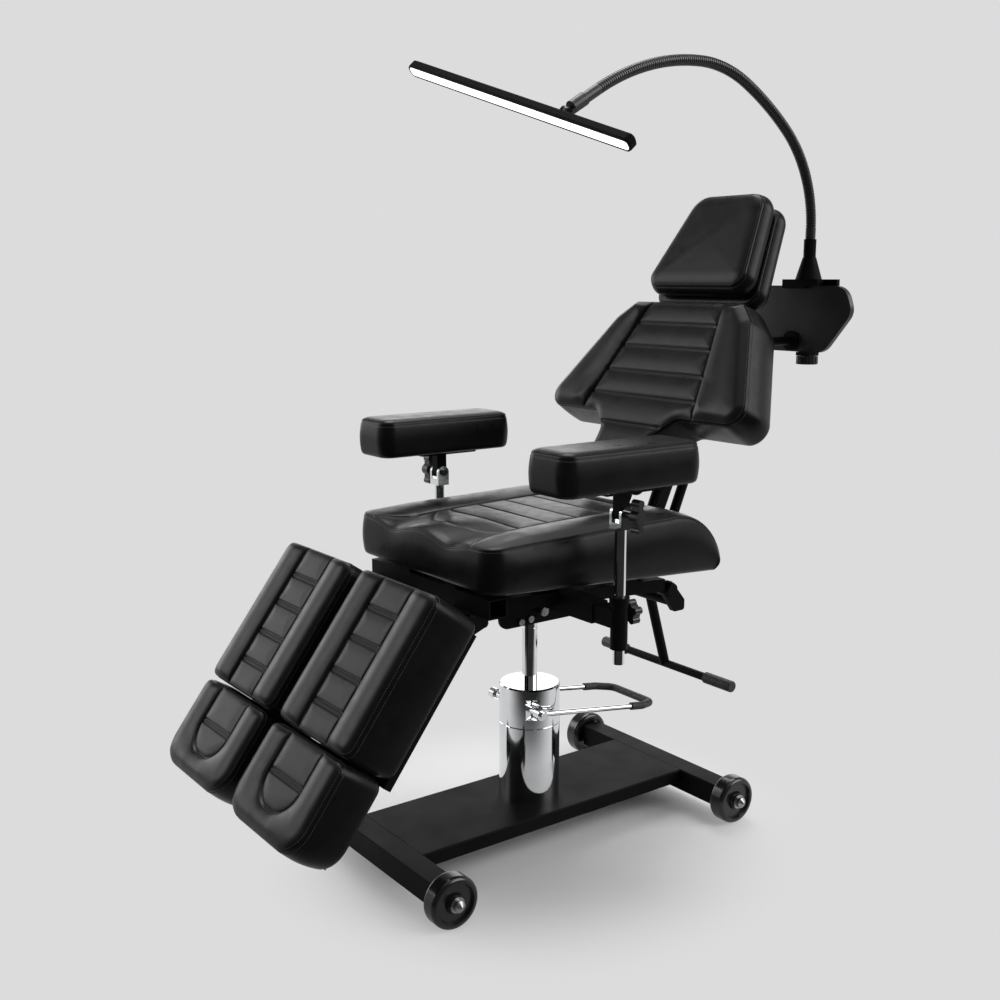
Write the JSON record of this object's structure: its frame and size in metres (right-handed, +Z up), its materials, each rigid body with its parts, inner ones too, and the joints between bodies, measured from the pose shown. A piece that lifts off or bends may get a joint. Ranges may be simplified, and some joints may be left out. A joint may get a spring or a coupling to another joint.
{
  "type": "tattoo chair",
  "caption": "Hydraulic tattoo chair with split leg rests, notched reclining back, adjustable armrests and headrest, foot bar and clamped gooseneck light bar.",
  "frame": {"origin": "on the floor, under the axis of the hydraulic pump", "axes": "+Z up; the sitter faces -Y, so the leg rests point to -Y; the sitter's left hand is on +X"},
  "size_m": [0.706, 1.41, 1.5853],
  "materials": {
    "black_paint": "satin powder coat",
    "chrome": "polished",
    "zinc_steel": "blackened",
    "grip_rubber": "matte",
    "wheel_black": "gloss",
    "black_leather": "smooth, fine grain",
    "board_wood": "stained plywood",
    "black_plastic": "matte",
    "white_diffuser": "lit diffuser"
  },
  "bodies": {
    "base": {"base_deck": "black_paint", "front_crossbar": "black_paint", "rear_crossbar": "black_paint", "axle_bolts": "zinc_steel", "pump_cylinder": "chrome", "pump_head": "chrome"},
    "front_left_wheel": {"wheel_front_left": "wheel_black"},
    "front_right_wheel": {"wheel_front_right": "wheel_black"},
    "rear_left_wheel": {"wheel_rear_left": "wheel_black"},
    "rear_right_wheel": {"wheel_rear_right": "wheel_black"},
    "pedal": {"pedal_loop": "chrome", "pedal_grip": "grip_rubber"},
    "lift": {"piston_rod": "chrome", "swivel_bearing": "zinc_steel"},
    "seat": {"seat_hub": "black_paint", "cross_tube": "black_paint", "left_side_rail": "black_paint", "right_side_rail": "black_paint", "leg_hinge_rail": "black_paint", "rear_rail": "black_paint", "seat_board": "board_wood", "seat_cushion": "black_leather", "frame_bolts": "zinc_steel"},
    "foot_rest_bar": {"foot_bar": "black_paint", "foot_bar_grips": "grip_rubber"},
    "back": {"back_frame": "black_paint", "back_cushion": "black_leather", "rear_panel": "black_plastic", "lamp_clamp": "black_paint"},
    "strut_cylinders": {"gas_cylinders": "black_paint"},
    "strut_rods": {"gas_rods": "chrome"},
    "head_carrier": {"head_slide": "chrome"},
    "head": {"head_hinge": "black_paint", "head_cushion": "black_leather", "head_pillow": "black_leather"},
    "clamp_knob": {"clamp_screw": "black_plastic"},
    "lamp_arm": {"lamp_post": "black_paint", "gooseneck": "black_plastic"},
    "light": {"lamp_housing": "black_paint", "lamp_diffuser": "white_diffuser"},
    "left_arm": {"left_arm_tube": "black_paint"},
    "left_arm_lift": {"left_arm_post": "chrome"},
    "left_pad": {"left_pad_bracket": "black_paint", "left_arm_pad": "black_leather"},
    "left_star": {"left_post_knob": "black_plastic"},
    "left_wing": {"left_tilt_knob": "black_plastic"},
    "left_leg": {"left_leg_frame": "black_paint", "left_calf_cushion": "black_leather"},
    "left_foot": {"left_foot_slide": "black_paint", "left_foot_cushion": "black_leather"},
    "right_arm": {"right_arm_tube": "black_paint"},
    "right_arm_lift": {"right_arm_post": "chrome"},
    "right_pad": {"right_pad_bracket": "black_paint", "right_arm_pad": "black_leather"},
    "right_star": {"right_post_knob": "black_plastic"},
    "right_wing": {"right_tilt_knob": "black_plastic"},
    "right_leg": {"right_leg_frame": "black_paint", "right_calf_cushion": "black_leather"},
    "right_foot": {"right_foot_slide": "black_paint", "right_foot_cushion": "black_leather"}
  },
  "joints": [
    {"name": "front_left_wheel_roll", "type": "hinge", "parent": "base", "child": "front_left_wheel", "pos_m": [0.24, -0.3636, 0.05], "axis": [1, 0, 0], "continuous": true},
    {"name": "rear_left_wheel_roll", "type": "hinge", "parent": "base", "child": "rear_left_wheel", "pos_m": [0.24, 0.3636, 0.05], "axis": [1, 0, 0], "continuous": true},
    {"name": "front_right_wheel_roll", "type": "hinge", "parent": "base", "child": "front_right_wheel", "pos_m": [-0.24, -0.3636, 0.05], "axis": [1, 0, 0], "continuous": true},
    {"name": "rear_right_wheel_roll", "type": "hinge", "parent": "base", "child": "rear_right_wheel", "pos_m": [-0.24, 0.3636, 0.05], "axis": [1, 0, 0], "continuous": true},
    {"name": "pedal_press", "type": "hinge", "parent": "base", "child": "pedal", "pos_m": [0, -0.033, 0.279], "axis": [1, 0, 0], "range_deg": [-25, 0], "stiffness_Nm_per_rad": 8, "springref_deg": 17.19},
    {"name": "pump_lift", "type": "slide", "parent": "base", "child": "lift", "axis": [0, 0, 1], "range_m": [-0.12, 0.05]},
    {"name": "seat_swivel", "type": "hinge", "parent": "lift", "child": "seat", "pos_m": [0, 0, 0.48], "axis": [0, 0, 1], "continuous": true},
    {"name": "foot_bar_fold", "type": "hinge", "parent": "seat", "child": "foot_rest_bar", "pos_m": [0, 0.33, 0.487], "axis": [1, 0, 0], "range_deg": [0, 30]},
    {"name": "back_recline", "type": "hinge", "parent": "seat", "child": "back", "pos_m": [0, 0.264, 0.508], "axis": [-1, 0, 0], "range_deg": [-10, 57]},
    {"name": "strut_swing", "type": "hinge", "parent": "back", "child": "strut_cylinders", "pos_m": [0, 0.422, 0.76], "axis": [-1, 0, 0], "range_deg": [-1, 5]},
    {"name": "strut_stroke", "type": "slide", "parent": "strut_cylinders", "child": "strut_rods", "axis": [0, 0.3919, 0.92], "range_m": [-0.009, 0.042]},
    {"name": "head_height", "type": "slide", "parent": "back", "child": "head_carrier", "axis": [0, 0.5432, 0.8396], "range_m": [0, 0.05]},
    {"name": "head_tilt", "type": "hinge", "parent": "head_carrier", "child": "head", "pos_m": [0, 0.57963, 1.16004], "axis": [-1, 0, 0], "range_deg": [-8, 12]},
    {"name": "clamp_turn", "type": "hinge", "parent": "back", "child": "clamp_knob", "pos_m": [0.116, 0.6975, 0.96], "axis": [0, 0, 1], "continuous": true},
    {"name": "lamp_swivel", "type": "hinge", "parent": "back", "child": "lamp_arm", "pos_m": [0.116, 0.69, 1.16], "axis": [0, 0, 1], "continuous": true},
    {"name": "light_tilt", "type": "hinge", "parent": "lamp_arm", "child": "light", "pos_m": [0.116, -0.01117, 1.45175], "axis": [-0.9319, -0.171, 0.32], "range_deg": [-15, 15]},
    {"name": "left_arm_width", "type": "slide", "parent": "seat", "child": "left_arm", "axis": [1, 0, 0], "range_m": [0, 0.06]},
    {"name": "left_arm_height", "type": "slide", "parent": "left_arm", "child": "left_arm_lift", "axis": [0, 0, 1], "range_m": [-0.05, 0.06]},
    {"name": "left_pad_tilt", "type": "hinge", "parent": "left_arm_lift", "child": "left_pad", "pos_m": [0.299, -0.023, 0.728], "axis": [1, 0, 0], "range_deg": [-25, 25]},
    {"name": "left_star_turn", "type": "hinge", "parent": "left_arm", "child": "left_star", "pos_m": [0.299, 0.01, 0.538], "axis": [0, 1, 0], "continuous": true},
    {"name": "left_wing_turn", "type": "hinge", "parent": "left_arm_lift", "child": "left_wing", "pos_m": [0.299, -0.023, 0.728], "axis": [1, 0, 0], "continuous": true},
    {"name": "left_leg_lift", "type": "hinge", "parent": "seat", "child": "left_leg", "pos_m": [0.145, -0.262, 0.54], "axis": [-1, 0, 0], "range_deg": [-5, 53.3]},
    {"name": "left_foot_extend", "type": "slide", "parent": "left_leg", "child": "left_foot", "axis": [0, -0.5976, -0.8018], "range_m": [0, 0.1]},
    {"name": "right_arm_width", "type": "slide", "parent": "seat", "child": "right_arm", "axis": [-1, 0, 0], "range_m": [0, 0.06]},
    {"name": "right_arm_height", "type": "slide", "parent": "right_arm", "child": "right_arm_lift", "axis": [0, 0, 1], "range_m": [-0.05, 0.06]},
    {"name": "right_pad_tilt", "type": "hinge", "parent": "right_arm_lift", "child": "right_pad", "pos_m": [-0.299, -0.023, 0.728], "axis": [1, 0, 0], "range_deg": [-25, 25]},
    {"name": "right_star_turn", "type": "hinge", "parent": "right_arm", "child": "right_star", "pos_m": [-0.299, 0.01, 0.538], "axis": [0, 1, 0], "continuous": true},
    {"name": "right_wing_turn", "type": "hinge", "parent": "right_arm_lift", "child": "right_wing", "pos_m": [-0.299, -0.023, 0.728], "axis": [1, 0, 0], "continuous": true},
    {"name": "right_leg_lift", "type": "hinge", "parent": "seat", "child": "right_leg", "pos_m": [-0.145, -0.262, 0.54], "axis": [-1, 0, 0], "range_deg": [-5, 53.3]},
    {"name": "right_foot_extend", "type": "slide", "parent": "right_leg", "child": "right_foot", "axis": [0, -0.5976, -0.8018], "range_m": [0, 0.1]}
  ],
  "couplings": [
    {"joint": "strut_swing", "follows": "back_recline", "ratio": 0.0678},
    {"joint": "strut_stroke", "follows": "back_recline", "m_per_rad": 0.03934}
  ]
}
